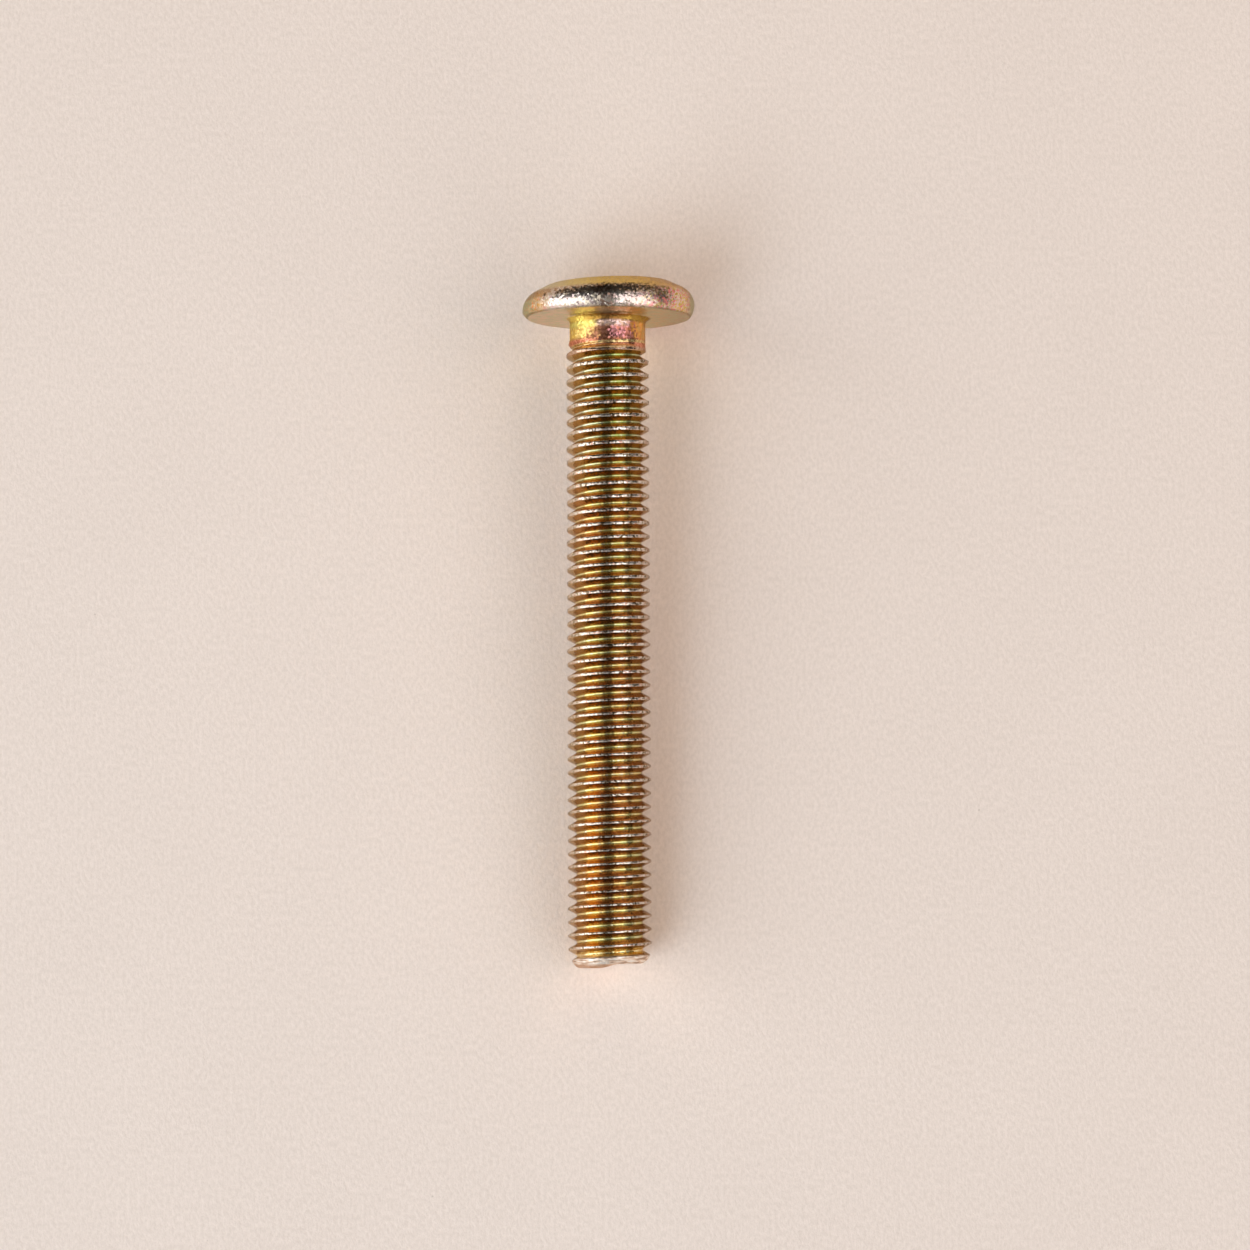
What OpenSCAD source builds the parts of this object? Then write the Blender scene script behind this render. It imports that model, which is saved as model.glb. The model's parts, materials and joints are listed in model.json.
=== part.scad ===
// Flat-headed machine screw with a rolled right-hand thread, one piece of plated steel.
// It lies as it comes to rest: the tip points to -Y, the head to +Y, and the floor is at Z = 0.
// The thread is drawn as one helical ridge, with its blunt crests, its start at the tip and its run-out
// at the neck. The screw's own axis is Z in the modules below, with Z = 0 at the head's flat underside.

/* [Head] */
// Width of the head across its rounded rim
head_diameter = 16; // [15:0.1:17]
// Height of the head from its underside to its flat top
head_height = 3.1; // [2.9:0.1:3.4]
// Radius of the rim's rounding
rim_radius = 1.56; // [1.4:0.02:1.7]
// Height of the widest part of the rim above the underside
rim_height = 1.15; // [1:0.05:1.3]
// Slope of the bevel that runs from the flat top down to the rim, in degrees
bevel_slope = 25; // [22:1:28]

/* [Hex socket] */
// Width of the socket across its flats
key_width = 5; // [4:0.5:5]
// Depth of the socket's straight sides
socket_depth = 3; // [2:0.1:3]
// Slope of the cone that ends the socket, in degrees
socket_floor_slope = 25; // [10:1:30]
// Reach of the chamfer at the mouth past the socket's corners
mouth_margin = 0.1; // [0.05:0.05:0.5]

/* [Neck] */
// Width of the plain neck, which is that of the blank that the thread was rolled on
neck_diameter = 7.05; // [6.9:0.05:7.2]
// Length of the plain neck under the head
neck_length = 2.2; // [1.5:0.1:6]
// Radius of the fillet between the neck and the underside
neck_fillet = 0.6; // [0.3:0.05:1]

/* [Thread] */
// Length of the screw under its head
shank_length = 60.25; // [20:0.25:70]
// Outside width over the thread's crests
thread_diameter = 7.72; // [7.6:0.01:8]
// Distance that the thread advances in one turn
thread_pitch = 1.25; // [1.2:0.01:1.3]
// Angle between the two sides of a groove, in degrees
groove_angle = 60; // [55:1:65]

/* [Tip] */
// Width of the end face
tip_diameter = 5.4; // [5:0.1:6]
// Length over which the rounded tip reaches the full width of the thread
tip_length = 2.4; // [1.5:0.1:4]
// Height of the step by which the rolled end is out of square
tip_lip = 0.4; // [0:0.05:0.6]
// Depth of the dished end face
tip_dish = 0.4; // [0.1:0.1:0.8]

/* [Hidden] */
$fn = 96;

// Colour of the yellow passivated zinc
plating = "#c9a24a";

// Head: the rim is an arc that the bevel touches above, and that the underside cuts below
head_radius = head_diameter / 2;
rim_centre = [head_radius - rim_radius, rim_height];
bevel_foot = rim_centre + rim_radius * [sin(bevel_slope), cos(bevel_slope)];
top_radius = bevel_foot.x - (head_height - bevel_foot.y) / tan(bevel_slope);
seat_radius = rim_centre.x + sqrt(rim_radius ^ 2 - rim_height ^ 2);
neck_radius = neck_diameter / 2;

// Socket: a prism of six flats, with a chamfer of 45 degrees; both are cut from a little above the top face
socket_corner = key_width / 2 / cos(30);
socket_floor_depth = key_width / 2 * tan(socket_floor_slope);
mouth_depth = socket_corner + mouth_margin - key_width / 2;
cut_margin = 1;

// Thread: one turn is cut into equal steps, and the ridge's outline is laid out in the same steps
steps_per_turn = 24;
corners_per_turn = 4;
root_steps = 3;
crest_steps = 5;
flank_steps = (steps_per_turn - root_steps - crest_steps) / 2;
step_angle = 360 / steps_per_turn;
step_rise = thread_pitch / steps_per_turn;
crest_radius = thread_diameter / 2;
root_radius = crest_radius - flank_steps * step_rise / tan(groove_angle / 2);

// Heights of the ridge's corners at angle 0, in steps above the tip: both ends of a root, then of a crest
first_root = 8;
first_crest = first_root + root_steps + flank_steps;
corner_steps = [first_root, first_root + root_steps, first_crest, first_crest + crest_steps];

// The thread ends inside the neck, whose surface is a hair outside it
joint_inset = 0.02;
joint_steps = 10;
thread_steps = floor((shank_length - neck_length) / step_rise);
total_steps = thread_steps + joint_steps;
run_out_top = (thread_steps - flank_steps) * step_rise;
run_out_length = thread_pitch;
plain_radius = neck_radius - joint_inset;

// Tip: the groove starts over a part of a turn, and the end's lip is steepest where it faces up
tip_radius = tip_diameter / 2;
groove_start_turns = 0.4;
lip_sharpness = 1.8;

// Each meridian has a slot for every corner between these two, and uses those inside the thread's length
lowest_corner = -2 * corners_per_turn;
highest_corner = corners_per_turn * ceil(total_steps / steps_per_turn);
corner_slots = highest_corner - lowest_corner + 1;
corner_range = [lowest_corner:highest_corner];
meridians = [0:steps_per_turn - 1];
first_corners = [for (meridian = meridians) min(inside_corners(meridian))];
last_corners = [for (meridian = meridians) max(inside_corners(meridian))];

// Resting place: the rim touches the floor at one end, and the lowest crests touch it near the tip
floor_meridians = [steps_per_turn / 4 - 1, steps_per_turn / 4];
floor_corners = [0:3 * corners_per_turn];
floor_points = [for (meridian = floor_meridians, corner = floor_corners) corner_point(meridian, corner)];
lie_angle = min([for (point = floor_points) touch_angle(point.y, point.z)]);
axis_height = rim_radius + rim_centre.x * cos(lie_angle) - rim_centre.y * sin(lie_angle);
front_reach = along_floor([0, top_radius, head_height]);
back_reach = min([for (meridian = meridians) along_floor(corner_point(meridian, lowest_corner))]);

function clamp(value, low, high) = max(low, min(high, value));
function is_root(corner) = (corner - corners_per_turn * floor(corner / corners_per_turn)) < 2;
function meridian_angle(meridian) = step_angle * (meridian + 1 / 2);

// Height of a corner in steps above the tip, which is one step more at each next meridian
function corner_height(meridian, corner) =
    let (turn = floor(corner / corners_per_turn))
    meridian + steps_per_turn * turn + corner_steps[corner - corners_per_turn * turn];

function inside_corners(meridian) = [
    for (corner = corner_range)
        let (height = corner_height(meridian, corner))
        if (height > 0 && height < total_steps) corner
];

// Radius left by the rounded tip, a quarter of an ellipse
function tip_limit(height) =
    let (share = 1 - clamp(height / tip_length, 0, 1))
    tip_radius + (crest_radius - tip_radius) * sqrt(1 - share ^ 2);

// Height of the end's edge above its lowest point
function lip_height(angle) = tip_lip * (1 + clamp(lip_sharpness * cos(angle), -1, 1)) / 2;

// Radius of a corner: its place on the ridge, held in by the tip at one end and run out at the other
function corner_radius(meridian, corner, height) =
    let (
        limit = tip_limit(height),
        turns = floor(corner / corners_per_turn) + meridian / steps_per_turn,
        groove_share = clamp(turns / groove_start_turns, 0, 1),
        groove = limit + (min(limit, root_radius) - limit) * groove_share,
        rolled = is_root(corner) ? groove : limit,
        ridge_share = clamp((run_out_top - height) / run_out_length, 0, 1)
    )
    plain_radius + (rolled - plain_radius) * ridge_share;

function corner_point(meridian, corner) =
    let (
        steps = clamp(corner_height(meridian, corner), 0, total_steps),
        height = steps * step_rise,
        angle = meridian_angle(meridian),
        radius = steps == 0 ? tip_radius : corner_radius(meridian, corner, height),
        lift = lip_height(angle) * (1 - clamp(steps / steps_per_turn, 0, 1))
    )
    [radius * cos(angle), radius * sin(angle), height + lift - shank_length];

// Angle by which the axis leans when a point of the thread touches the floor along with the rim
function touch_angle(radius, z) =
    let (
        fall = rim_centre.x - radius,
        reach = rim_centre.y - z
    )
    atan(fall / reach) + asin(rim_radius / norm([fall, reach]));

// Distance of a point along the floor from the head's underside, once the screw lies down
function along_floor(point) = point.y * sin(lie_angle) + point.z * cos(lie_angle);

// Place of a corner in the list of points; meridian 0 comes round again one turn of corners further up
function corner_index(meridian, corner) =
    meridian == steps_per_turn ? corner_index(0, corner + corners_per_turn) : slot_index(meridian, corner);
function slot_index(meridian, corner) =
    let (used = clamp(corner, first_corners[meridian] - 1, last_corners[meridian] + 1))
    meridian * corner_slots + used - lowest_corner;

function end_index(meridian) = corner_index(meridian, lowest_corner);
function top_index(meridian) = corner_index(meridian, highest_corner);

// Two triangles between a corner and the next one on two meridians, or one where a meridian has ended
function strip_faces(meridian, corner) =
    let (
        a = corner_index(meridian, corner),
        b = corner_index(meridian + 1, corner),
        c = corner_index(meridian + 1, corner + 1),
        d = corner_index(meridian, corner + 1)
    )
    [if (a != d) [a, d, c], if (b != c) [a, c, b]];

// Section of the head and neck on one side of the axis, with its true arcs
module head_section() {
    polygon([
        [0, 0],
        [seat_radius, 0],
        rim_centre,
        bevel_foot,
        [top_radius, head_height],
        [0, head_height]
    ]);
    intersection() {
        translate(rim_centre)
            circle(r = rim_radius);
        square([head_diameter, head_height]);
    }
    translate([0, -neck_length])
        square([neck_radius, neck_length]);
    difference() {
        translate([0, -neck_fillet])
            square([neck_radius + neck_fillet, neck_fillet]);
        translate([neck_radius + neck_fillet, -neck_fillet])
            circle(r = neck_fillet);
    }
}

// Hex socket with a chamfered mouth and a cone at its bottom
module socket() {
    translate([0, 0, head_height - socket_depth])
        cylinder(h = socket_depth + cut_margin, r = socket_corner, $fn = 6);
    translate([0, 0, head_height - socket_depth - socket_floor_depth])
        cylinder(h = socket_floor_depth, r1 = 0, r2 = key_width / 2);
    translate([0, 0, head_height - mouth_depth])
        cylinder(
            h = mouth_depth + cut_margin,
            r1 = key_width / 2,
            r2 = socket_corner + mouth_margin + cut_margin
        );
}

module head() {
    difference() {
        rotate_extrude()
            head_section();
        socket();
    }
}

// The rolled shank, from its dished end face up into the neck
module thread() {
    corners = [for (meridian = meridians, corner = corner_range) corner_point(meridian, corner)];
    end_centre = len(corners);
    top_centre = end_centre + 1;
    centres = [
        [0, 0, tip_dish - shank_length],
        [0, 0, total_steps * step_rise - shank_length]
    ];
    strips = [for (meridian = meridians, corner = corner_range, face = strip_faces(meridian, corner)) face];
    end_face = [for (meridian = meridians) [end_centre, end_index(meridian), end_index(meridian + 1)]];
    top_face = [for (meridian = meridians) [top_centre, top_index(meridian + 1), top_index(meridian)]];
    polyhedron(points = concat(corners, centres), faces = concat(strips, end_face, top_face));
}

module screw() {
    color(plating)
        translate([0, -(front_reach + back_reach) / 2, axis_height])
            rotate([lie_angle - 90, 0, 0]) {
                head();
                thread();
            }
}

screw();
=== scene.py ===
import json
import math

import bpy
import numpy as np
from mathutils import Matrix, Vector


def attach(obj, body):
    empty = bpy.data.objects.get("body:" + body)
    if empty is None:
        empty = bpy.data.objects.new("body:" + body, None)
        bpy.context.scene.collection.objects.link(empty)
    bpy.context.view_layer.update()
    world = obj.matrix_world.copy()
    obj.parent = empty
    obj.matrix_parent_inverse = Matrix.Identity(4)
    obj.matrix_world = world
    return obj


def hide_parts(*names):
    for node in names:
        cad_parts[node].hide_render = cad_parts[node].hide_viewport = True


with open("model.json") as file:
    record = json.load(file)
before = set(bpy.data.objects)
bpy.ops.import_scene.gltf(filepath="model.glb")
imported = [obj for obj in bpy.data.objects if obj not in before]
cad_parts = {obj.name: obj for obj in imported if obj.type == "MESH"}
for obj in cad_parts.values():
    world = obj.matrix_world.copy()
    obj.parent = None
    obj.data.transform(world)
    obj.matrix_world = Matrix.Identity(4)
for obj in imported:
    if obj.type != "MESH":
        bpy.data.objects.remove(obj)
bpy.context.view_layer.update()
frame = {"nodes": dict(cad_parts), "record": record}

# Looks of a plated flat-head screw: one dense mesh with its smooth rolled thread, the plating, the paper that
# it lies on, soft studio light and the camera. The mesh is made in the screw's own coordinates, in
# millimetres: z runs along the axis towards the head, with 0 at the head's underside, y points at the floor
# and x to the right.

MM = 0.001
NODE = "screw"


def mount(name):
    return next(m for m in frame["record"]["mounts"] if m["name"] == name)


# Where the screw lies, from the record's mounts
AXIS = Vector(mount("hex_drive")["axis"]).normalized()
ACROSS = Vector((1, 0, 0))
SEAT = Vector(mount("head_seat")["pos_m"]) * Vector((0, 1, 1))
PLACE = Matrix((ACROSS, AXIS.cross(ACROSS), AXIS)).transposed().to_4x4()
PLACE.translation = SEAT

# The solid's main sizes, read from the frame
SOLID = np.array([PLACE.inverted() @ v.co for v in frame["nodes"][NODE].data.vertices]) / MM
SHANK_LENGTH = -SOLID[:, 2].min()
HEAD_HEIGHT = SOLID[:, 2].max()
HEAD_RADIUS = np.hypot(SOLID[:, 0], SOLID[:, 1]).max()

# Neck, and the head's section and its set
NECK_RADIUS = 3.525
NECK_FILLET = 0.6
NECK_RINGS = (-1.5, -1.1, -0.8)
RIM_HEIGHT = 0.93
RIM_UPPER_RADIUS = 1.75
RIM_LOWER_RADIUS = 1.1
BEVEL_SLOPE = math.radians(27)
HEAD_LEAN = math.tan(math.radians(1.8))
HEAD_SHIFT = 0.1

# Rounding between the underside and the rim: it starts this far in, rises by these steps and ends this many
# degrees up the rim's arc
SEAT_ROUNDING = 0.07
SEAT_RISES = (0.006, 0.03)
SEAT_TURN = 4

# Rounding between the bevel and the top: how far in it reaches, and how far the top's edge lies below the top
TOP_ROUNDING = 0.12
TOP_DROP = 0.014

# Hex socket; its rounded edges are given in small steps
KEY_WIDTH = 5
SOCKET_DEPTH = 3
SOCKET_FLOOR_SLOPE = math.radians(25)
SOCKET_MARGIN = 0.1
SOCKET_STEP = 0.01

# Thread, with pairs of values at the tip and at the head. Its crests are keener by the tip
PITCH = 1.25
FIRST_ROOT = 0.375
TIP_FLANK_RISE = 1 / math.tan(math.radians(28))
HEAD_FLANK_RISE = 1 / math.tan(math.radians(30))
CREST_RADIUS = (3.87, 3.81)
CREST_WIDTH = (0.14, 0.31)
ROOT_WIDTH = (0.2, 0.11)
CORNER_SOFTNESS = 0.05

# Run-out: the ridge ends higher on the left than on the right, and the groove ends below both
THREAD_TOP = SHANK_LENGTH - 1.9
RIDGE_TOP_LEAN = 0.4
RIDGE_RUN_OUT = 1.3
GROOVE_TOP = SHANK_LENGTH - 2.5
GROOVE_RUN_OUT = 0.7

# Unevenness of the rolled crests, in millimetres and as a slope, along the helix
WEAR_DEPTH = 0.018
WEAR_DEPTH_SEED = 11
WEAR_SLOPE = 0.13
WEAR_SLOPE_SEED = 12
WEAR_SPOTS_PER_TURN = 64
WEAR_SPOTS = 4096
WEAR_LEAD_TURNS = 4

# Tip: the thread fades into its rounded edge, and its end is out of square and dished
TIP_RADIUS = 2.7
TIP_LENGTH = 2.4
TIP_SOFTNESS = 0.08
TIP_LIP = 0.4
TIP_LIP_STEEPNESS = 1.25
TIP_DISH = 0.4
GROOVE_START_TURNS = 0.4

# Mesh density: columns around the screw, and rows from a root's middle to the next one. A corner has a row on
# each side, at this share of its softness, and a flank has rows of its own
COLUMNS = 96
ANGLES = np.arange(COLUMNS) * 2 * math.pi / COLUMNS
ROWS_PER_TURN = 18
CORNER_ROW_REACH = 0.7
FLANK_ROWS = (0.35, 0.7)

# The rows start some turns below the tip, so that every column is filled, and are cut off at the tip's rings
# and at the neck, where a row closer than a sliver is left out
LEAD_TURNS = 2
SLIVER = 0.012
TIP_RINGS_TOP = 0.22

# Rings below the rows, as heights above the tip, and on the end face, as shares of its radius
TIP_RINGS = (0.15, 0.09, 0.045, 0.015, 0)
DISH_RINGS = (0.93, 0.84, 0.7, 0.5, 0.25)

# Where on the ridge points away from the thread count as, and the tip, which is worn as the crests are
PLAIN = 0.5
WORN = 1


def mix(low, high, share):
    return low + (high - low) * share


def smooth_step(value):
    value = np.clip(value, 0, 1)
    return value * value * (3 - 2 * value)


def soft_min(a, b, softness):
    share = np.clip(0.5 + 0.5 * (b - a) / softness, 0, 1)
    return mix(b, a, share) - softness * share * (1 - share)


def soft_max(a, b, softness):
    return -soft_min(-a, -b, softness)


def colour(code):
    """Linear colour from a code such as #c9a24a."""
    parts = [int(code[i:i + 2], 16) / 255 for i in (1, 3, 5)]
    return [p / 12.92 if p <= 0.04045 else ((p + 0.055) / 1.055) ** 2.4 for p in parts] + [1]


# Shape of the shank


def tip_limit(height):
    """Radius that the rounded tip leaves at a height above it."""
    share = 1 - np.clip(height / TIP_LENGTH, 0, 1)
    return TIP_RADIUS + (CREST_RADIUS[0] - TIP_RADIUS) * np.sqrt(1 - share * share)


def lip_lift(angle, height):
    """The rolled end is out of square: it stands back on the right."""
    side = smooth_step(0.5 + TIP_LIP_STEEPNESS * np.cos(angle))
    return TIP_LIP * side * (1 - np.clip(height / PITCH, 0, 1))


def wear(turns, seed):
    """Small seeded unevenness along the helix, about 1 either way; turns is the place along the helix."""
    knots = np.random.default_rng(seed).normal(0, 1, WEAR_SPOTS)
    place = (turns + WEAR_LEAD_TURNS) * WEAR_SPOTS_PER_TURN
    low = np.floor(place).astype(int)
    return mix(knots[low], knots[low + 1], smooth_step(place - low))


class Profile:
    """The thread's section in a plane through the axis, which changes along the shank. Rows are in pitches,
    from one root's middle to the next, and the flank that faces the tip comes first."""

    def __init__(self, turns):
        share = np.clip(turns * PITCH / SHANK_LENGTH, 0, 1)
        root_width = mix(*ROOT_WIDTH, share)
        depth = (PITCH - mix(*CREST_WIDTH, share) - root_width) / (1 / TIP_FLANK_RISE + 1 / HEAD_FLANK_RISE)
        worn = WEAR_DEPTH * wear(turns, WEAR_DEPTH_SEED)
        self.slope = WEAR_SLOPE * wear(turns, WEAR_SLOPE_SEED)
        self.root = mix(*CREST_RADIUS, share) - depth
        self.crest = self.root + depth - worn
        self.root_ends = (root_width / 2 / PITCH, 1 - root_width / 2 / PITCH)
        self.crest_ends = (self.root_ends[0] + (depth - worn) / TIP_FLANK_RISE / PITCH,
                           self.root_ends[1] - (depth - worn) / HEAD_FLANK_RISE / PITCH)
        self.crest_middle = (self.crest_ends[0] + self.crest_ends[1]) / 2

    def rows(self):
        """Places of the rows: close together where the section turns."""
        step = CORNER_ROW_REACH * CORNER_SOFTNESS / HEAD_FLANK_RISE / PITCH
        sides = []
        for root, crest, way in zip(self.root_ends, self.crest_ends, (step, -step)):
            flank = [mix(root, crest, share) for share in FLANK_ROWS]
            sides.append([root - way, root, root + way] + flank + [crest - way, crest, crest + way])
        return np.array([np.zeros_like(self.root)] + sides[0] + [self.crest_middle] + sides[1][::-1])

    def radius(self, row):
        row = row - np.floor(row)
        flank = self.root + PITCH * np.minimum((row - self.root_ends[0]) * TIP_FLANK_RISE,
                                               (self.root_ends[1] - row) * HEAD_FLANK_RISE)
        half = (self.crest_ends[1] - self.crest_ends[0]) / 2
        crest = self.crest + self.slope * PITCH * np.clip(row - self.crest_middle, -half, half)
        return soft_max(self.root, soft_min(crest, flank, CORNER_SOFTNESS), CORNER_SOFTNESS)


def shank_radius(height, column, row, profile):
    """Radius, and how far up the ridge it is from root to crest. The tip holds the thread in, its groove
    starts at the tip, and both run out at the neck."""
    limit = tip_limit(height)
    groove_turns = np.floor(row + 0.5) + column / COLUMNS
    rolled = soft_min(limit, profile.radius(row), TIP_SOFTNESS)
    radius = mix(limit, rolled, smooth_step(groove_turns / GROOVE_START_TURNS))
    ridge = 1 - (np.minimum(limit, profile.crest) - radius) / (profile.crest - profile.root)
    ridge_top = THREAD_TOP - RIDGE_TOP_LEAN * (1 + math.cos(ANGLES[column]))
    ridge_share = smooth_step((ridge_top - height) / RIDGE_RUN_OUT)
    groove_share = smooth_step((GROOVE_TOP - height) / GROOVE_RUN_OUT)
    run_out = np.where(radius > NECK_RADIUS, ridge_share, groove_share)
    return mix(NECK_RADIUS, radius, run_out), ridge


class Shell:
    """Points and faces of one closed skin, made of rings of COLUMNS points each."""

    def __init__(self):
        self.points = []
        self.ridge = []
        self.faces = []

    def add(self, points, ridge):
        first = len(self.points)
        self.points.extend(points)
        self.ridge.extend(np.broadcast_to(ridge, len(points)))
        return np.arange(first, len(self.points))

    def ring(self, radius, z, ridge=PLAIN):
        radius = np.broadcast_to(radius, COLUMNS)
        z = np.broadcast_to(z, COLUMNS)
        return self.add(np.stack([radius * np.cos(ANGLES), radius * np.sin(ANGLES), z], 1), ridge)

    def face(self, corners):
        kept = [c for i, c in enumerate(corners) if c != corners[i - 1]]
        if len(kept) > 2:
            self.faces.append(kept)

    def join(self, lower, upper):
        for j in range(COLUMNS):
            k = (j + 1) % COLUMNS
            self.face([lower[j], lower[k], upper[k], upper[j]])

    def close(self, ring, z, facing_head):
        centre = self.add([[0, 0, z]], PLAIN)[0]
        for j in range(COLUMNS):
            k = (j + 1) % COLUMNS
            self.face([ring[j], ring[k], centre] if facing_head else [ring[k], ring[j], centre])


def helix_column(shell, column, row_turns):
    """Adds one column of the thread, from the tip's rings to the neck, and returns each row's point. Rows
    past either end share its last point."""
    profile = Profile(row_turns + column / COLUMNS)
    every = np.arange(len(row_turns))
    row = row_turns + profile.rows()[every % ROWS_PER_TURN, every]
    height = PITCH * (row + column / COLUMNS + FIRST_ROOT)
    inside = np.nonzero((height > TIP_RINGS_TOP + SLIVER) & (height < THREAD_TOP - SLIVER))[0]
    used = np.arange(inside[0] - 1, inside[-1] + 2)
    height = np.clip(height, TIP_RINGS_TOP, THREAD_TOP)
    row = height / PITCH - column / COLUMNS - FIRST_ROOT
    radius, ridge = shank_radius(height, column, row, profile)
    z = height + lip_lift(ANGLES[column], height) - SHANK_LENGTH
    points = np.stack([radius * math.cos(ANGLES[column]), radius * math.sin(ANGLES[column]), z], 1)
    ids = shell.add(points[used], ridge[used])
    return ids[np.clip(every, used[0], used[-1]) - used[0]]


def shank(shell):
    """Helical rows from the tip's rings to the neck. Returns the lowest and the highest ring of points."""
    turns = math.ceil(SHANK_LENGTH / PITCH) + 1
    row_turns = np.repeat(np.arange(-LEAD_TURNS, turns), ROWS_PER_TURN)
    ids = np.stack([helix_column(shell, j, row_turns) for j in range(COLUMNS)], 1)
    for n in range(len(row_turns) - ROWS_PER_TURN - 1):
        for j in range(COLUMNS):
            wrap = j == COLUMNS - 1
            k = 0 if wrap else j + 1
            up = n + ROWS_PER_TURN if wrap else n
            shell.face([ids[n, j], ids[up, k], ids[up + 1, k], ids[n + 1, j]])
    return ids[0], ids[-1]


def tip(shell, lowest):
    """Rounded edge below the helix and the dished end face."""
    ring = lowest
    for height in TIP_RINGS:
        lower = shell.ring(tip_limit(height), height + lip_lift(ANGLES, height) - SHANK_LENGTH, WORN)
        shell.join(lower, ring)
        ring = lower
    for share in DISH_RINGS:
        fall = TIP_DISH * (1 - share ** 2) ** 1.5
        lift = lip_lift(ANGLES, 0) * share
        lower = shell.ring(TIP_RADIUS * share, fall + lift - SHANK_LENGTH, WORN)
        shell.join(lower, ring)
        ring = lower
    shell.close(ring, TIP_DISH - SHANK_LENGTH, False)


# Shape of the head


def arc(centre, radius, start, end, steps):
    """Points of an arc in the head's section, angles in degrees from the outward direction."""
    angles = np.radians(np.linspace(start, end, steps + 1))
    return [(centre[0] + radius * math.cos(a), centre[1] + radius * math.sin(a)) for a in angles]


def line(start, end, shares):
    """Points between two points of a section."""
    return [(mix(start[0], end[0], share), mix(start[1], end[1], share)) for share in shares]


def head_section():
    """The head's outline from the neck to the top face, as radius and z."""
    lower_centre = (HEAD_RADIUS - RIM_LOWER_RADIUS, RIM_HEIGHT)
    upper_centre = (HEAD_RADIUS - RIM_UPPER_RADIUS, RIM_HEIGHT)
    seat_radius = lower_centre[0] + math.sqrt(RIM_LOWER_RADIUS ** 2 - RIM_HEIGHT ** 2)
    seat_angle = SEAT_TURN - math.degrees(math.asin(RIM_HEIGHT / RIM_LOWER_RADIUS))
    bevel_angle = 90 - math.degrees(BEVEL_SLOPE)
    bevel = (upper_centre[0] + RIM_UPPER_RADIUS * math.sin(BEVEL_SLOPE),
             RIM_HEIGHT + RIM_UPPER_RADIUS * math.cos(BEVEL_SLOPE))
    top = (bevel[0] - (HEAD_HEIGHT - bevel[1]) / math.tan(BEVEL_SLOPE), HEAD_HEIGHT)
    section = arc((NECK_RADIUS + NECK_FILLET, -NECK_FILLET), NECK_FILLET, 180, 90, steps=8)
    section += line((section[-1][0], 0), (seat_radius, 0), (0.2, 0.5, 0.8, 0.93))
    section += [(seat_radius - SEAT_ROUNDING, SEAT_RISES[0]), (seat_radius, SEAT_RISES[1])]
    section += arc(lower_centre, RIM_LOWER_RADIUS, seat_angle, 0, steps=9)
    section += arc(upper_centre, RIM_UPPER_RADIUS, 0, bevel_angle, steps=14)[1:]
    section += line(bevel, top, (0.5, 0.9))
    section += line((top[0], HEAD_HEIGHT - TOP_DROP), (top[0] - TOP_ROUNDING, HEAD_HEIGHT), (0, 0.6, 1))
    return section


def hexagon(flats):
    """Distance of a hexagon's outline from the axis at each column, with a corner at each sixth of a turn."""
    sixth = math.pi / 3
    return flats / 2 / np.cos(ANGLES % sixth - sixth / 2)


def socket_section():
    """The hex socket's outline from the top face to its cone, as radius and z, with a chamfered mouth."""
    mouth = KEY_WIDTH / 2 / math.cos(math.pi / 6) + SOCKET_MARGIN
    flats = hexagon(KEY_WIDTH)
    floor_z = HEAD_HEIGHT - SOCKET_DEPTH
    wall_top = HEAD_HEIGHT - (mouth - flats)
    middle_of_top = mix(HEAD_RADIUS * 0.7, mouth, 0.6)
    section = [
        (middle_of_top, HEAD_HEIGHT),
        (mouth + 6 * SOCKET_STEP, HEAD_HEIGHT),
        (mouth - 2 * SOCKET_STEP, HEAD_HEIGHT - 3 * SOCKET_STEP),
        (flats + 3 * SOCKET_STEP, wall_top + 3 * SOCKET_STEP),
        (flats, wall_top - 4 * SOCKET_STEP),
        (flats, mix(wall_top, floor_z, 0.5)),
        (flats, floor_z + 5 * SOCKET_STEP),
        (flats * 0.98, floor_z)]
    cone_top = (KEY_WIDTH / 2, floor_z)
    cone_point = (0, floor_z - KEY_WIDTH / 2 * math.tan(SOCKET_FLOOR_SLOPE))
    return section + line(cone_point, cone_top, (0.95, 0.6, 0.25)), cone_point[1]


def upset_ring(shell, radius, z):
    """A ring of the head, which was upset slightly aside and leans above its underside."""
    upper = shell.ring(radius, z)
    for i in upper:
        x, y, height = shell.points[i]
        lifted = height + HEAD_LEAN * x * smooth_step(height / RIM_HEIGHT)
        shell.points[i] = [x + HEAD_SHIFT * smooth_step(1 + height / NECK_FILLET), y, lifted]
    return upper


def head(shell, ring):
    """Neck, fillet, underside, rim, bevel, top and socket, from the thread's highest ring."""
    for z in NECK_RINGS:
        upper = shell.ring(NECK_RADIUS, z)
        shell.join(ring, upper)
        ring = upper
    socket, point_z = socket_section()
    for radius, z in head_section() + socket:
        upper = upset_ring(shell, radius, z)
        shell.join(ring, upper)
        ring = upper
    shell.close(ring, point_z, True)


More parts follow.
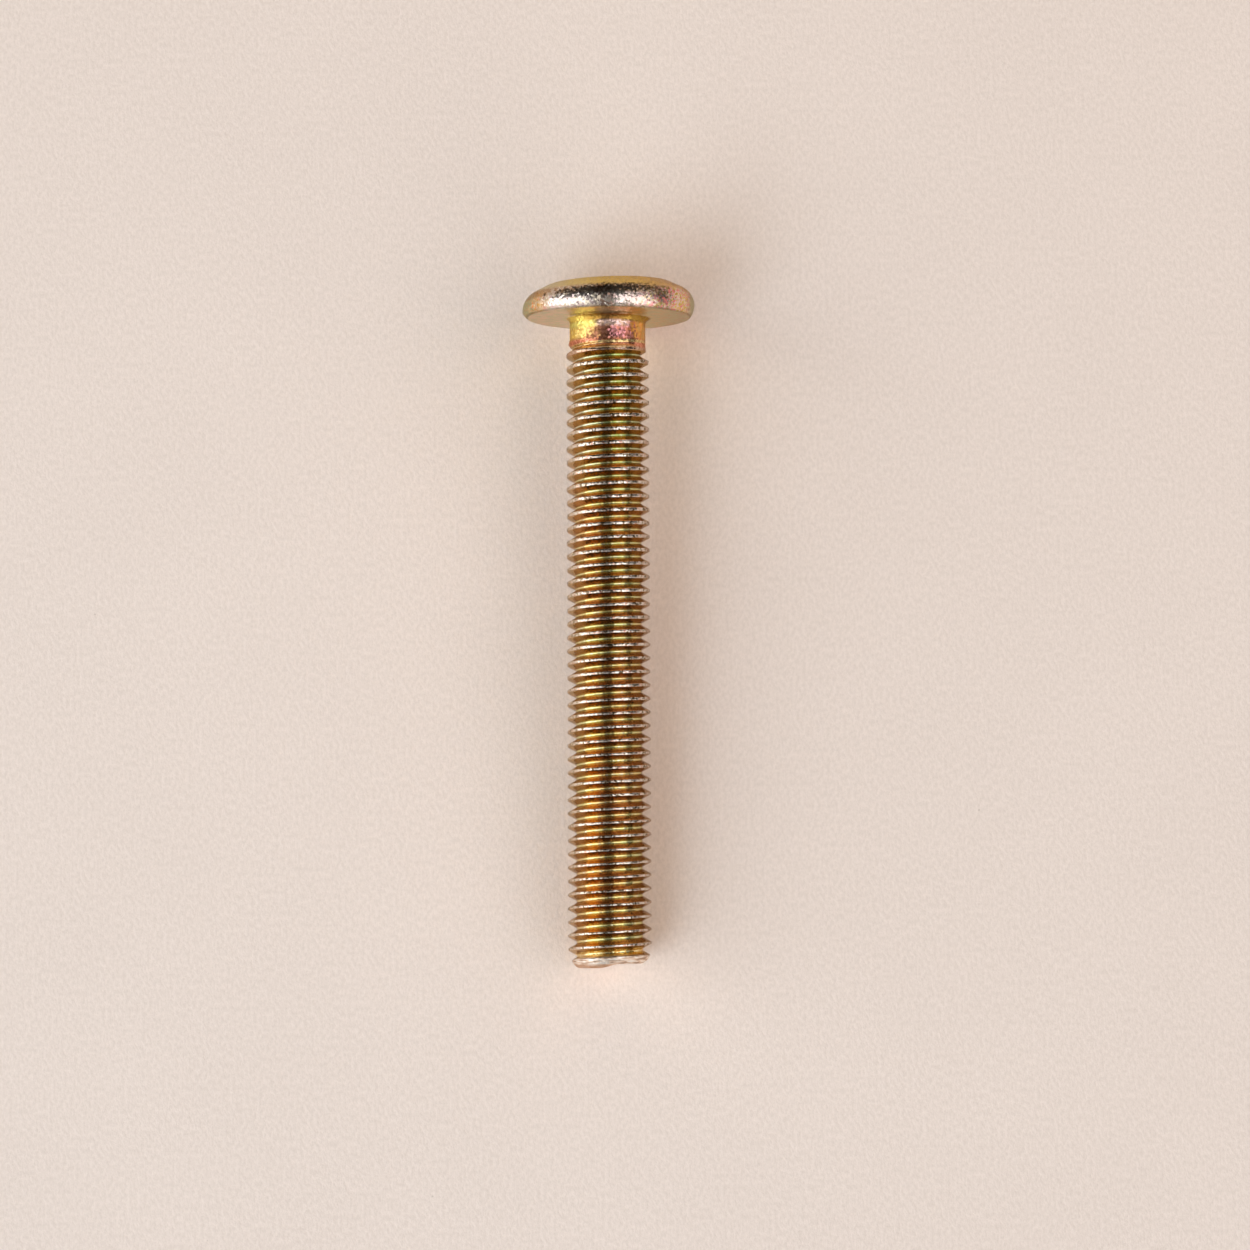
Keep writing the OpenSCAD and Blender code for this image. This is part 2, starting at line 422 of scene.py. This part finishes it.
def build_screw():
    shell = Shell()
    lowest, highest = shank(shell)
    tip(shell, lowest)
    head(shell, highest)
    mesh = bpy.data.meshes.new("plated_screw")
    mesh.from_pydata((np.array(shell.points) * MM).tolist(), [], shell.faces)
    mesh.transform(PLACE)
    mesh.polygons.foreach_set("use_smooth", [True] * len(mesh.polygons))
    ridge = mesh.attributes.new("ridge", "FLOAT", "POINT")
    ridge.data.foreach_set("value", np.array(shell.ridge, np.float32))
    spot = mesh.attributes.new("spot", "FLOAT_VECTOR", "POINT")
    spot.data.foreach_set("vector", np.array(shell.points, np.float32).ravel())
    mesh.validate()
    mesh.update()
    screw = bpy.data.objects.new("plated_screw", mesh)
    bpy.context.scene.collection.objects.link(screw)
    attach(screw, "root")
    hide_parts(NODE)
    return screw


# Nodes


class Nodes:
    """Short ways to add and join the nodes of one tree. A value is another node's output, a number, a vector
    or a colour code."""

    def __init__(self, tree):
        self.tree = tree
        tree.nodes.clear()

    def add(self, kind, inputs=None, **settings):
        node = self.tree.nodes.new(kind)
        for name, value in settings.items():
            setattr(node, name, value)
        for name, value in (inputs or {}).items():
            if isinstance(value, bpy.types.NodeSocket):
                self.tree.links.new(value, node.inputs[name])
            else:
                node.inputs[name].default_value = colour(value) if isinstance(value, str) else value
        return node

    def math(self, operation, *values):
        return self.add("ShaderNodeMath", dict(enumerate(values)), operation=operation).outputs[0]

    def product(self, first, *others):
        for value in others:
            first = self.math("MULTIPLY", first, value)
        return first

    def vector(self, operation, *values):
        return self.add("ShaderNodeVectorMath", dict(enumerate(values)), operation=operation).outputs[0]

    def range(self, value, low, high, to_low=0.0, to_high=1.0):
        """Smooth change from to_low, at low, to to_high, at high. low may be above high."""
        inputs = {"Value": value, "From Min": low, "From Max": high, "To Min": to_low, "To Max": to_high}
        return self.add("ShaderNodeMapRange", inputs, interpolation_type="SMOOTHSTEP").outputs[0]

    def window(self, value, start, full, fading, end):
        """1 where value is from full to fading, and 0 before start and past end."""
        return self.product(self.range(value, start, full), self.range(value, end, fading))

    def share(self, value, low, high):
        """Where value lies between low, at 0, and high, at 1."""
        return self.math("DIVIDE", self.math("SUBTRACT", value, low), high - low)

    def blend(self, factor, low, high):
        """Mix of two colours."""
        return self.add("ShaderNodeMix", {0: factor, 6: low, 7: high}, data_type="RGBA").outputs[2]

    def noise(self, vector, scale, detail=2.0, roughness=0.5):
        inputs = {"Vector": vector, "Scale": scale, "Detail": detail, "Roughness": roughness}
        return self.add("ShaderNodeTexNoise", inputs).outputs["Fac"]

    def ramp(self, value, stops):
        """Colour ramp from (place, colour code) pairs."""
        node = self.add("ShaderNodeValToRGB", {"Fac": value})
        elements = node.color_ramp.elements
        while len(elements) < len(stops):
            elements.new(0.5)
        for element, (place, code) in zip(elements, stops):
            element.position = place
            element.color = colour(code)
        return node.outputs["Color"]


def new_material(name):
    material = bpy.data.materials.new(name)
    material.use_nodes = True
    return material, Nodes(material.node_tree)


# Plating

# Grain of the plated metal: small facets that each lean by a random amount, less on the top and in the socket
GRAINS_PER_MM = 5.6
THREAD_GRAIN = 0.14
HEAD_GRAIN = 0.36
TIP_GRAIN = 0.3
CALM_GRAIN_SHARE = 0.35
THREAD_ROUGHNESS = 0.2
HEAD_ROUGHNESS = 0.28
TIP_ROUGHNESS = 0.42

# The film darkens what the metal mirrors at its outlines
EDGE_TINT = (0.72, 0.62, 0.52, 1)

# How finely the film's colour varies, from broad to fine, as noise cells per millimetre
DRIFT_PER_MM = 0.16
PATCHES_PER_MM = 0.9
SPECKLE_PER_MM = 2.6
STREAKS_PER_MM = 3.2
GRIT_PER_MM = 7.0

# Where one film gives way to the next, as the z at which the next one starts and is full
ABOVE_THREAD = (-3.1, -2.8)
ABOVE_RUN_OUT = (-2.4, -2.0)
ABOVE_NECK = (-0.75, -0.45)
ABOVE_FILLET = (-0.1, 0.0)
ABOVE_UNDERSIDE = (0.01, 0.06)
ABOVE_RIM = (1.9, 2.4)

# The same for what changes along the thread
GREEN_ROOTS = (-17, -11)
YELLOW_FLANKS = (-17, -6)
BROWN_FLANKS = (-17, -30)
AMBER_FLANKS = (-20, -50)
DULL_CRESTS = (-4.1, -3.6)
HEAD_GRAIN_FROM = (-3.0, -2.0)

# The same at the tip, as heights above it
TIP_GRAIN_FROM = (1.6, 1.0)
TIP_BAND = (1.3, 0.9)
TIP_EDGE = (0.45, 0.2)
FIRST_GROOVE = (2.4, 2.1)

# How far up the ridge a flank and a crest start
FLANK_FROM = (0.03, 0.1)
CREST_FROM = (0.9, 0.97)


class Spot:
    """Nodes that say where on the screw a point is, and the random values that vary the film there."""

    def __init__(self, n):
        self.place = n.add("ShaderNodeAttribute", attribute_name="spot").outputs["Vector"]
        self.x, _, self.z = n.add("ShaderNodeSeparateXYZ", {0: self.place}).outputs
        self.height = n.math("ADD", self.z, SHANK_LENGTH)
        self.ridge = n.add("ShaderNodeAttribute", attribute_name="ridge").outputs["Fac"]
        grains = n.add("ShaderNodeTexVoronoi", {"Vector": self.place, "Scale": GRAINS_PER_MM})
        self.facet = grains.outputs["Color"]
        self.chance = n.add("ShaderNodeSeparateColor", {0: self.facet}).outputs[0]
        self.patches = n.noise(self.place, PATCHES_PER_MM, 3.0, 0.6)
        broad = n.noise(self.place, DRIFT_PER_MM, 1.0)
        self.drift = n.math("MULTIPLY_ADD", broad, 0.6, n.product(self.patches, 0.4))
        by_grain = n.product(n.math("SUBTRACT", self.chance, 0.5), 0.5)
        self.speckle = n.math("ADD", n.noise(self.place, SPECKLE_PER_MM, 1.0), by_grain)


def root_film(n, at):
    """Pale yellow along the shank and green towards the head, with some grains almost bare."""
    yellow = n.ramp(at.drift, [(0.35, "#e4ecb0"), (0.5, "#f0e8a0"), (0.65, "#f2d698")])
    green = n.ramp(n.share(at.x, -4, 4), [(0.3, "#e0ecd4"), (0.6, "#cce090"), (0.8, "#ccd8a8")])
    film = n.blend(n.range(at.z, *GREEN_ROOTS), yellow, green)
    bare_grains = n.range(at.chance, 0.7, 1.0, 0.0, 0.5)
    return n.blend(bare_grains, film, "#fcf8f0")


def flank_film(n, at):
    """Tan, browner away from the head, with a painted reflection of the left box: a band on the left that
    turns amber towards the tip.
    """
    drift = n.math("ADD", at.drift, n.range(at.z, *YELLOW_FLANKS, 0.0, -0.3))
    film = n.ramp(drift, [(0.2, "#c8a462"), (0.4, "#cca468"), (0.5, "#d0a270"), (0.65, "#d29e70")])
    film = n.blend(n.range(at.z, *BROWN_FLANKS, 0.0, 0.3), film, "#a08468")
    # Painted reflection: an amber band on the left, where the flanks mirror the left box
    painted_reflection_stripe = n.window(at.x, -2.7, -2.0, -1.4, -0.8)
    return n.blend(n.product(painted_reflection_stripe, n.range(at.z, *AMBER_FLANKS), 0.7), film, "#dca650")


def crest_film(n, at):
    """Nearly bare metal with dark and rosy specks."""
    return n.ramp(at.speckle, [
        (0.28, "#705e4c"), (0.4, "#e0d2c2"), (0.52, "#fff8f2"), (0.62, "#f6ece6"), (0.78, "#d8ac9c")])


def thread_film(n, at):
    """Films of roots, flanks and crests, with fine dark grit. It is duller on the right side, a painted shade
    where the thread mirrors shaded paper, and paler on the left, a painted highlight where it mirrors the
    left box.
    The last crests below the neck are dull too."""
    film = n.blend(n.range(at.ridge, *FLANK_FROM), root_film(n, at), flank_film(n, at))
    film = n.blend(n.range(at.ridge, *CREST_FROM), film, crest_film(n, at))
    grit = n.noise(at.place, GRIT_PER_MM, 2.0, 0.6)
    film = n.blend(n.range(grit, 0.44, 0.64, 0.0, 0.22), film, "#a08460")
    # Painted shade: the right side is dulled where the thread mirrors the paper in shadow
    film = n.blend(n.range(at.x, 1.6, 2.8, 0.0, 0.22), film, "#8c8068")
    # Painted highlight: the left side is paled where the thread mirrors the left box
    film = n.blend(n.range(at.x, -1.6, -3.2, 0.0, 0.38), film, "#ecdcbc")
    last_crests = n.product(n.range(at.z, *DULL_CRESTS), n.range(at.ridge, 0.6, 0.9), 0.6)
    return n.blend(last_crests, film, "#d0a080")


def run_out_film(n, at):
    """Straw in the last of the groove and coral on the last of the ridge."""
    groove = n.ramp(at.speckle, [(0.3, "#c89c68"), (0.65, "#ecd498")])
    ridge = n.ramp(at.speckle, [(0.3, "#b87050"), (0.7, "#eca084")])
    return n.blend(n.range(at.ridge, 0.05, 0.3), groove, ridge)


def neck_film(n, at):
    """Yellow on the left, rose in the middle and orange on the right, partly the film's own colour and partly
    painted reflection, with streaks along the axis. In the lower middle a dark patch of painted shade, and
    under the fillet a pale painted highlight and a yellow painted highlight on the left."""
    drawn = n.vector("MULTIPLY", at.place, (1.0, 1.0, 0.2))
    streak = n.math("SUBTRACT", n.noise(drawn, STREAKS_PER_MM, 1.0), 0.5)
    wander = n.math("ADD", n.math("ADD", at.x, n.product(streak, 2.4)), n.product(at.chance, 0.8))
    # The colours across the neck are partly the film's own and partly painted reflection
    film = n.ramp(n.share(wander, -3.2, 4.0), [
        (0.03, "#ecc868"), (0.1, "#f8dc84"), (0.26, "#f8d484"), (0.36, "#d89870"),
        (0.5, "#d08a78"), (0.6, "#e0969c"), (0.72, "#ec9c9c"), (0.8, "#e08c70"),
        (0.86, "#fcb468"), (0.93, "#f4b864"), (1.0, "#e4b878")])
    # Painted shade: a dark patch in the lower middle of the neck, where it mirrors the dark space above
    painted_dark_reflection = n.product(n.window(wander, -1.4, -0.4, 0.6, 1.6), n.range(at.z, -1.0, -1.3),
                      n.range(at.chance, 0.75, 0.35, 0.0, 0.75))
    film = n.blend(painted_dark_reflection, film, "#6c4434")
    # Painted highlight: a pale band at the top of the neck, under the fillet
    painted_collar_highlight = n.product(n.range(at.z, -1.3, -0.9), n.window(at.x, -1.6, -0.6, 1.6, 2.4), 0.7)
    film = n.blend(painted_collar_highlight, film, "#fae4e0")
    # Painted highlight: a yellow patch at the top of the neck on the left
    painted_glint = n.product(n.range(at.z, -1.4, -0.9), n.range(at.x, -0.6, -1.6))
    return n.blend(painted_glint, film, "#f0e888")


def fillet_film(n, at):
    """Gold, brighter on the left as a painted reflection, and brown in the middle as painted shade, where the
    fillet is shaded most.
    """
    # Painted reflection: brighter gold on the left
    film = n.blend(n.range(at.x, -1.6, -2.6), "#b48c40", "#ecd068")
    # Painted shade: brown in the middle of the fillet
    middle = n.window(at.x, -1.4, 0.0, 0.8, 2.2)
    return n.blend(n.product(middle, 0.8), film, "#885c34")


def tip_film(n, at):
    """Almost bare band with fine rings around it, and a rosy lower edge."""
    rings = n.noise(n.vector("MULTIPLY", at.place, (0.3, 0.3, 2.2)), 3.0, 2.0)
    film = n.ramp(rings, [(0.36, "#b89c88"), (0.5, "#f4dcc8"), (0.6, "#fff8f0")])
    return n.blend(n.range(at.height, *TIP_EDGE, 0.0, 0.7), film, "#d4a888")


def shank_film(n, at):
    """Everything below the head. The first groove above the tip is gold."""
    film = n.blend(n.range(at.z, *ABOVE_THREAD), thread_film(n, at), run_out_film(n, at))
    film = n.blend(n.range(at.z, *ABOVE_RUN_OUT), film, neck_film(n, at))
    film = n.blend(n.range(at.z, *ABOVE_NECK), film, fillet_film(n, at))
    first_groove = n.product(n.range(at.height, *FIRST_GROOVE), n.range(at.ridge, 0.55, 0.35))
    film = n.blend(first_groove, film, n.ramp(at.speckle, [(0.35, "#e4b460"), (0.6, "#f8e8b0")]))
    return n.blend(n.range(at.height, *TIP_BAND), film, tip_film(n, at))


def rim_colours(n, at):
    """Silver in the middle, speckled gold on the left and rose on the right, and greenish at both ends."""
    silver = n.ramp(at.speckle, [(0.3, "#e4d8c4"), (0.45, "#fff8ee"), (0.7, "#fce4e0")])
    silver = n.blend(n.range(at.x, 0.5, 2.5, 0.0, 0.35), silver, "#f4c0b8")
    rose = n.ramp(at.speckle, [(0.3, "#e0bc68"), (0.42, "#ecd4a8"), (0.54, "#f4dcd4"), (0.7, "#f0908c")])
    rose = n.blend(n.range(at.x, 7.3, 7.9), rose, "#c0bc9c")
    gold = n.ramp(at.speckle, [(0.3, "#e4a850"), (0.46, "#e8c890"), (0.6, "#f0dcc0"), (0.74, "#f0a060")])
    gold = n.blend(n.range(n.math("ADD", at.x, at.chance), -6.0, -7.0), gold, "#c4c49c")
    film = n.blend(n.range(at.x, 2.0, 5.4), silver, rose)
    return n.blend(n.range(at.x, -5.0, -6.6), film, gold)


def rim_film(n, at):
    """The rim's colours with bronze grains on its upper half, brown ones at a smudge on the right, and a dull
    lower edge. The brown grains in the middle are painted shade, where the rim mirrors the dark space above."""
    film = rim_colours(n, at)
    bronze = n.product(n.range(at.z, 1.2, 1.5), n.range(at.chance, 0.0, 0.8, 0.3, 0.9),
                       n.range(at.x, 5.4, 4.4))
    film = n.blend(bronze, film, "#b8946c")
    # Painted shade: brown grains in the middle, where the rim mirrors the dark space above
    middle = n.product(n.window(at.x, -1.6, -0.5, 0.3, 1.2), n.range(at.chance, 0.0, 0.9, 0.2, 0.85))
    film = n.blend(middle, film, "#846048")
    smudge = n.product(n.window(at.x, 4.0, 4.8, 5.3, 6.3), n.range(at.chance, 0.9, 0.3, 0.1, 0.65))
    film = n.blend(smudge, film, "#6c5648")
    return n.blend(n.range(at.z, 0.2, 0.1, 0.0, 0.5), film, "#7c7050")


def bevel_film(n, at):
    """Gold, paler at the left end and browner at the right."""
    return n.ramp(n.share(at.x, -7.0, 7.0), [
        (0.05, "#eeead0"), (0.25, "#e8d694"), (0.45, "#e2c574"), (0.75, "#deba70"), (0.95, "#d5b085")])


def underside_film(n, at):
    """Pale straw with greenish patches."""
    film = n.ramp(n.share(at.x, -7.6, 7.6), [
        (0.05, "#fee8d2"), (0.3, "#fff2de"), (0.5, "#f8eabc"), (0.7, "#fcf0c8"), (0.95, "#deccb0")])
    return n.blend(n.range(at.patches, 0.42, 0.58, 0.0, 0.6), film, "#dce4c4")


def head_film(n, at):
    film = n.blend(n.range(at.z, *ABOVE_RIM), rim_film(n, at), bevel_film(n, at))
    return n.blend(n.range(at.z, *ABOVE_UNDERSIDE), underside_film(n, at), film)


def by_zone(n, at, thread, head, tip):
    """A value that changes from the thread to the neck and head, and is higher on the tip's band."""
    above_tip = n.range(at.z, *HEAD_GRAIN_FROM, thread, head)
    return n.math("MAXIMUM", above_tip, n.range(at.height, *TIP_GRAIN_FROM, 0.0, tip))


def grainy_normal(n, at):
    """The mesh's normal with each facet's lean. It breaks up the edges of what the head mirrors."""
    flat = n.vector("MULTIPLY", at.place, (1.0, 1.0, 0.0))
    radius = n.add("ShaderNodeVectorMath", {0: flat}, operation="LENGTH").outputs["Value"]
    on_top = n.product(n.range(radius, 5.8, 5.0), n.range(at.z, 2.6, 3.0))
    in_socket = n.product(n.range(radius, 3.4, 3.2), n.range(at.z, -3.0, -2.5))
    calm = n.range(n.math("MAXIMUM", on_top, in_socket), 0.0, 1.0, 1.0, CALM_GRAIN_SHARE)
    grain = n.product(by_zone(n, at, THREAD_GRAIN, HEAD_GRAIN, TIP_GRAIN), calm)
    lean = n.vector("MULTIPLY", n.vector("SUBTRACT", at.facet, (0.5, 0.5, 0.5)), grain)
    smooth = n.add("ShaderNodeNewGeometry").outputs["Normal"]
    return n.vector("NORMALIZE", n.vector("ADD", smooth, lean))


def plating():
    """Yellow passivated zinc: a thin film of shifting colour, worn paler on the crests, over grainy metal.
    Some of its colour is painted light and shade.
    """
    material, n = new_material("yellow_zinc")
    at = Spot(n)
    surface = n.add("ShaderNodeBsdfPrincipled", {
        "Base Color": n.blend(n.range(at.z, *ABOVE_FILLET), shank_film(n, at), head_film(n, at)),
        "Metallic": 1.0,
        "Specular Tint": EDGE_TINT,
        "Roughness": by_zone(n, at, THREAD_ROUGHNESS, HEAD_ROUGHNESS, TIP_ROUGHNESS),
        "Normal": grainy_normal(n, at),
    })
    n.add("ShaderNodeOutputMaterial", {"Surface": surface.outputs[0]})
    return material


# Paper

FLOOR_SIZE = 1.6
CLOUDS_PER_MM = 0.06
TOOTH_PER_MM = 3.2
TOOTH_STRETCH = (1.0, 0.6, 1.0)
TOOTH_DEPTH = 0.09 * MM
SPECK_SPACING = 8
SPECK_RADII = (0.11, 0.05)


def paper():
    """Uncoated cream paper with a fine tooth, and a few stray specks."""
    material, n = new_material("paper")
    place = n.add("ShaderNodeTexCoord").outputs["Object"]
    millimetres = n.vector("MULTIPLY", place, (1 / MM,) * 3)
    tooth = n.noise(n.vector("MULTIPLY", millimetres, TOOTH_STRETCH), TOOTH_PER_MM, 4.0, 0.65)
    tint = n.ramp(n.noise(millimetres, CLOUDS_PER_MM, 3.0), [(0.3, "#e5d6cb"), (0.7, "#e7d8cd")])
    tint = n.blend(n.range(tooth, 0.3, 0.7, 0.0, 0.2), tint, "#a89888")
    cells = n.add("ShaderNodeTexVoronoi", {"Vector": millimetres, "Scale": 1 / SPECK_SPACING})
    reach = [radius / SPECK_SPACING for radius in SPECK_RADII]
    specks = n.range(cells.outputs["Distance"], *reach, 0.0, 0.35)
    bump = n.add("ShaderNodeBump", {"Height": tooth, "Strength": 0.6, "Distance": TOOTH_DEPTH})
    surface = n.add("ShaderNodeBsdfPrincipled", {
        "Base Color": n.blend(specks, tint, "#8c7a68"),
        "Roughness": 0.9,
        "Specular IOR Level": 0.1,
        "Normal": bump.outputs[0],
    })
    n.add("ShaderNodeOutputMaterial", {"Surface": surface.outputs[0]})
    return material


def build_floor():
    mesh = bpy.data.meshes.new("paper_floor")
    half = FLOOR_SIZE / 2
    corners = [(-half, -half, 0), (half, -half, 0), (half, half, 0), (-half, half, 0)]
    mesh.from_pydata(corners, [], [(0, 1, 2, 3)])
    floor = bpy.data.objects.new("paper_floor", mesh)
    bpy.context.scene.collection.objects.link(floor)
    mesh.materials.append(paper())


# World: the boxes that the metal mirrors, by direction, with x to the right, y past the head and z up

LEFT_BOX_GLOW = 1.5
RIGHT_BOX_GLOW = 1.2
CORNER_GLOW = 0.8
STRIP_GLOW = 0.14

# The left box ends in a bow on the head's side, and both boxes are faint far past the tip
LEFT_BOX_EDGE = 0.09
LEFT_BOX_BOW = 0.28
PAST_TIP = (-0.95, -0.82)
PAST_TIP_SHARE = 0.05

# Even light, brighter on the tip's side than past the head
EVEN_GLOW = (0.11, 0.02)

# A real box is brighter than it looks mirrored, so the world is this many times as bright for the light that
# the metal throws on the paper, and warmer. On the tip's side only a share of the gain is left
THROWN_LIGHT = 6
THROWN_TIP_SHARE = 0.35
MIRRORED_TINT = (1, 0.985, 0.96, 1)
THROWN_TINT = (1, 0.9, 0.76, 1)

ROOM_COLOUR = "#e6d7cc"


def left_box(n, x, y):
    """Brighter at its outer end. Its edge on the head's side is bowed."""
    edge = n.math("ADD", n.product(x, x, LEFT_BOX_BOW), LEFT_BOX_EDGE)
    within = n.range(n.math("SUBTRACT", y, edge), 0.07, -0.07)
    outer_end = n.range(x, -0.6, -0.88, 0.82, 1.1)
    return n.product(n.range(x, -0.15, -0.62), within, outer_end, LEFT_BOX_GLOW)


def right_box(n, x, y, z):
    """Brightest in its middle and dim at its outer end, with a corner of its own past the head."""
    middle = n.range(x, 0.45, 0.65, 1.0, 1.15)
    outer_end = n.range(x, 0.92, 0.75, 0.1, 1.0)
    box = n.product(n.range(x, 0.17, 0.32), n.range(y, 0.2, 0.06), outer_end, middle)
    corner = n.product(n.range(x, 0.46, 0.56), n.window(y, 0.3, 0.42, 0.6, 0.7), n.range(z, 0.3, 0.4))
    return n.product(n.math("MAXIMUM", box, n.product(corner, CORNER_GLOW)), RIGHT_BOX_GLOW)


def mirrored_glow(n, x, y, z):
    """Both boxes, a little brighter towards the tip, with a dim strip between them there, in even light."""
    boxes = n.math("MAXIMUM", left_box(n, x, y), right_box(n, x, y, z))
    tip_side = n.range(y, -0.08, -0.35, 1.0, 1.15)
    past_tip = n.range(y, *PAST_TIP, PAST_TIP_SHARE, 1.0)
    strip = n.range(y, -0.02, -0.3, 0.0, STRIP_GLOW)
    boxes = n.math("MAXIMUM", n.product(boxes, tip_side, past_tip), strip)
    return n.math("ADD", boxes, n.range(y, 0.1, 0.4, *EVEN_GLOW))


def build_world():
    """What the metal mirrors, and a pale room that only the camera sees."""
    world = bpy.data.worlds.new("studio")
    bpy.context.scene.world = world
    world.use_nodes = True
    n = Nodes(world.node_tree)
    direction = n.add("ShaderNodeTexCoord").outputs["Generated"]
    x, y, z = n.add("ShaderNodeSeparateXYZ", {0: direction}).outputs
    path = n.add("ShaderNodeLightPath").outputs
    thrown = n.product(path["Is Glossy Ray"], n.math("MINIMUM", path["Diffuse Depth"], 1.0))
    by_direction = n.range(y, -0.5, -0.2, THROWN_TIP_SHARE, 1.0)
    gain = n.math("MULTIPLY_ADD", n.product(thrown, by_direction), THROWN_LIGHT - 1, 1.0)
    strength = n.product(mirrored_glow(n, x, y, z), gain)
    tint = n.blend(thrown, MIRRORED_TINT, THROWN_TINT)
    studio = n.add("ShaderNodeBackground", {"Color": tint, "Strength": strength})
    room = n.add("ShaderNodeBackground", {"Color": ROOM_COLOUR, "Strength": 1.0})
    both = n.add("ShaderNodeMixShader", {0: path["Is Camera Ray"], 1: studio.outputs[0], 2: room.outputs[0]})
    n.add("ShaderNodeOutputWorld", {"Surface": both.outputs[0]})


# Lamps, which light the paper: name, azimuth and zenith in degrees, power and colour. Azimuth 0 is to the
# right and 90 past the head

LAMPS = (
    ("key", 225, 45, 4.75, (0.636, 0.827, 1.0)),
    ("left_low", 180, 70, 1.36, (0.64, 0.846, 1.0)),
    ("right_fill", 0, 45, 1.7, (1.0, 0.81, 0.76)),
    ("head_fill", 90, 45, 1.6, (1.0, 0.7, 0.48)),
)
LAMP_SIZE = 0.6
LAMP_DISTANCE = 1.0


def soft_box(name, azimuth, zenith, power, tint):
    """A square lamp aimed at the screw. The metal doesn't mirror it, because it mirrors the world's boxes."""
    lamp = bpy.data.lights.new(name, "AREA")
    lamp.size = LAMP_SIZE
    lamp.energy = power
    lamp.color = tint
    box = bpy.data.objects.new(name, lamp)
    bpy.context.scene.collection.objects.link(box)
    turn, lower = math.radians(azimuth), math.radians(zenith)
    aim = Vector((math.sin(lower) * math.cos(turn), math.sin(lower) * math.sin(turn), math.cos(lower)))
    box.location = aim * LAMP_DISTANCE
    box.rotation_euler = aim.to_track_quat("Z", "Y").to_euler()
    box.visible_glossy = False


# Camera from the photo's fit, in the screw's coordinates: above the axis, over the tip, and turned a little
# towards the head by its tilt in radians

EYE = Vector((1.513, -400, -58.93))
TILT = 0.07568
ROLL = -0.00431
LENS = 124.83
SENSOR_WIDTH = 36


def build_camera():
    camera = bpy.data.cameras.new("camera")
    camera.sensor_width = SENSOR_WIDTH
    camera.lens = LENS
    camera.clip_start = 0.01
    camera.clip_end = 10
    seer = bpy.data.objects.new("camera", camera)
    bpy.context.scene.collection.objects.link(seer)
    forward = Vector((0, math.cos(TILT), math.sin(TILT)))
    level = forward.cross(Vector((0, 0, 1))).normalized()
    upright = level.cross(forward)
    right = math.cos(ROLL) * level + math.sin(ROLL) * upright
    up = math.cos(ROLL) * upright - math.sin(ROLL) * level
    turn = Matrix((right, up, -forward)).transposed().to_4x4()
    turn.translation = EYE * MM
    seer.matrix_world = PLACE @ turn
    bpy.context.scene.camera = seer


build_camera()
screw = build_screw()
screw.data.materials.append(plating())
build_floor()
build_world()
for lamp_settings in LAMPS:
    soft_box(*lamp_settings)
bpy.context.scene.view_settings.view_transform = "Standard"
